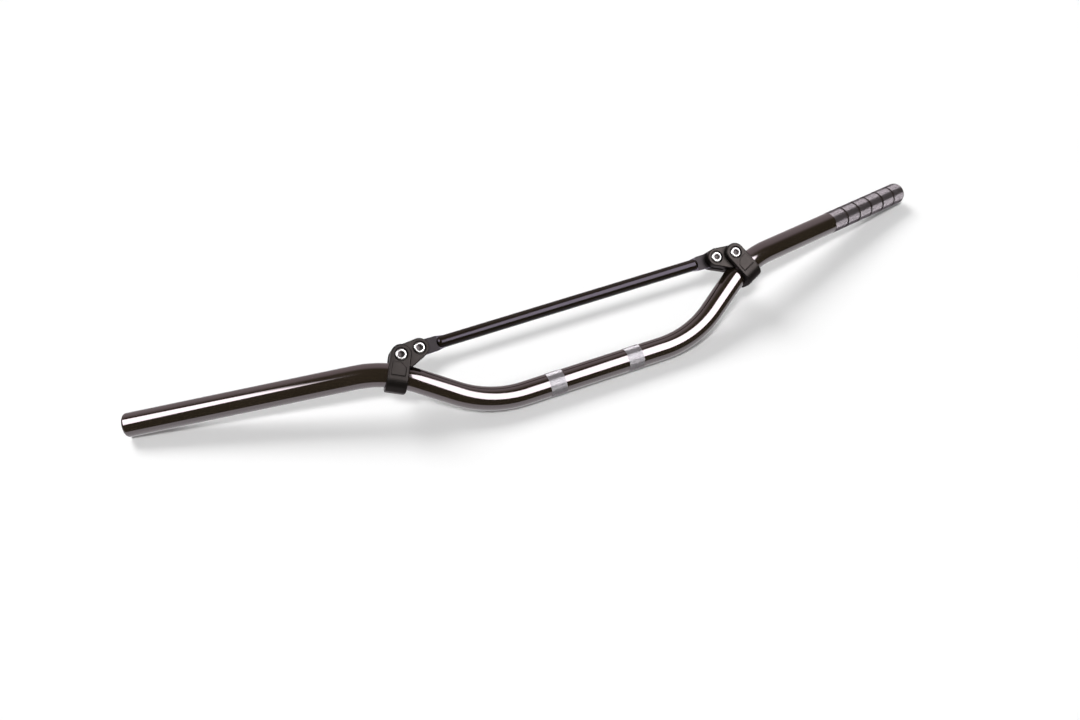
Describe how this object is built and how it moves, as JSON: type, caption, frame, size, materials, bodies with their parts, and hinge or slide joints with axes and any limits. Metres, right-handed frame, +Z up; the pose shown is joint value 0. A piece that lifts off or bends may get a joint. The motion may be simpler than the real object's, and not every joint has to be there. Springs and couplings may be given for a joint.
{
  "type": "motorcycle handlebar",
  "caption": "Motocross handlebar: bent tube with knurled clamp seats and left grip, braced by a crossbar held in bolted clamps.",
  "frame": {"origin": "on the surface that the loose bar lies on, under the middle of its box", "axes": "+X along the bar to the rider's left, +Z up from the surface that it lies on"},
  "size_m": [0.8394, 0.1268, 0.0676],
  "materials": {
    "black_tube": "gloss black",
    "black_rod": "satin black",
    "clamp_black": "satin black",
    "plated_steel": "bright zinc plate"
  },
  "bodies": {
    "root": {"handlebar_tube": "black_tube", "crossbar": "black_rod", "left_strap": "clamp_black", "right_strap": "clamp_black", "left_link": "clamp_black", "right_link": "clamp_black", "left_link_screw": "plated_steel", "left_link_nut": "plated_steel", "left_clamp_screw": "plated_steel", "left_clamp_nut": "plated_steel", "right_link_screw": "plated_steel", "right_link_nut": "plated_steel", "right_clamp_screw": "plated_steel", "right_clamp_nut": "plated_steel"}
  },
  "joints": []
}
